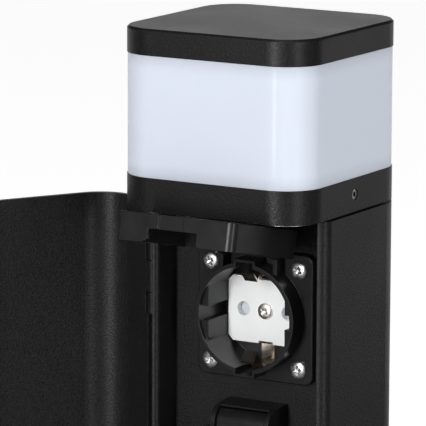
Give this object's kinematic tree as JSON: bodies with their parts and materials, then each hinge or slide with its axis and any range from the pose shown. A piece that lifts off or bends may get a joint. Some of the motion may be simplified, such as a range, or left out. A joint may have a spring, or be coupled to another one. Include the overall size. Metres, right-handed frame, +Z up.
{
  "type": "garden socket post",
  "caption": "Square garden post with an opal lamp head and a recessed panel of earthed sockets with hinged lids behind a folded hinged door.",
  "frame": {"origin": "middle of the base plate's underside, on the post's axis", "axes": "+Z up along the post, -Y the front with the sockets, +X to the right seen from the front"},
  "size_m": [0.1609, 0.1332, 0.45],
  "materials": {
    "powder_coat": "fine textured satin",
    "opal": "opal, softly glossy",
    "galvanised": "hot-dip galvanised",
    "zinc": "bright zinc plated",
    "dark_steel": "stainless, plain",
    "rubber": "matt",
    "black_plastic": "satin moulded",
    "white_plastic": "satin moulded",
    "grey_plastic": "satin moulded",
    "nickel": "nickel plated brass",
    "ceramic": "glazed",
    "lamp_plastic": "frosted"
  },
  "bodies": {
    "post": {"base_plate": "galvanised", "base_screws": "zinc", "cable_gland": "black_plastic", "compartment_floor": "powder_coat", "cover_screws": "zinc", "floor_screws": "zinc", "gland_dome_nut": "black_plastic", "head_tray": "galvanised", "head_tray_screws": "zinc", "hinge_pins": "zinc", "hinge_post_knuckles": "powder_coat", "lamp_holder": "ceramic", "led_lamp": "lamp_plastic", "lower_cover": "powder_coat", "magnet_catch": "black_plastic", "post_profile": "powder_coat", "socket_1_contacts": "nickel", "socket_1_earth_clips": "nickel", "socket_1_gasket": "rubber", "socket_1_housing": "black_plastic", "socket_1_insert": "white_plastic", "socket_1_insert_screw": "nickel", "socket_1_lid_pin": "zinc", "socket_1_screws": "zinc", "socket_2_contacts": "nickel", "socket_2_earth_clips": "nickel", "socket_2_gasket": "rubber", "socket_2_housing": "black_plastic", "socket_2_insert": "white_plastic", "socket_2_insert_screw": "nickel", "socket_2_lid_pin": "zinc", "socket_2_screws": "zinc", "socket_panel": "powder_coat", "terminal_block": "grey_plastic"},
    "head": {"cap": "powder_coat", "diffuser": "opal", "collar": "powder_coat", "diffuser_gasket_lower": "rubber", "diffuser_gasket_upper": "rubber", "tie_rods": "zinc", "set_screws": "dark_steel"},
    "door": {"door": "powder_coat", "hinge_door_knuckles": "powder_coat", "door_keeper": "zinc"},
    "lid_1": {"socket_1_lid": "black_plastic", "socket_1_lid_seal": "rubber"},
    "shutter_1": {"socket_1_shutter": "grey_plastic"},
    "lid_2": {"socket_2_lid": "black_plastic", "socket_2_lid_seal": "rubber"},
    "shutter_2": {"socket_2_shutter": "grey_plastic"}
  },
  "joints": [
    {"name": "door_hinge", "type": "hinge", "parent": "post", "child": "door", "pos_m": [-0.04, -0.0105, 0.296], "axis": [0, 0, -1], "range_deg": [-121, 0]},
    {"name": "lid_1_hinge", "type": "hinge", "parent": "post", "child": "lid_1", "pos_m": [0, -0.0112, 0.3685], "axis": [-1, 0, 0], "range_deg": [-102.6, 0]},
    {"name": "lid_2_hinge", "type": "hinge", "parent": "post", "child": "lid_2", "pos_m": [0, -0.0112, 0.2985], "axis": [-1, 0, 0], "range_deg": [0, 102.6]},
    {"name": "shutter_1_turn", "type": "hinge", "parent": "post", "child": "shutter_1", "pos_m": [0.001, 0.006, 0.3405], "axis": [0, -1, 0], "range_deg": [0, 38]},
    {"name": "shutter_2_turn", "type": "hinge", "parent": "post", "child": "shutter_2", "pos_m": [0.001, 0.006, 0.2705], "axis": [0, -1, 0], "range_deg": [0, 38]},
    {"name": "head_lift", "type": "slide", "parent": "post", "child": "head", "axis": [0, 0, 1], "range_m": [0, 0.06]}
  ],
  "couplings": [
    {"joint": "lid_1_hinge", "follows": "door_hinge", "ratio": 0.84793}
  ]
}
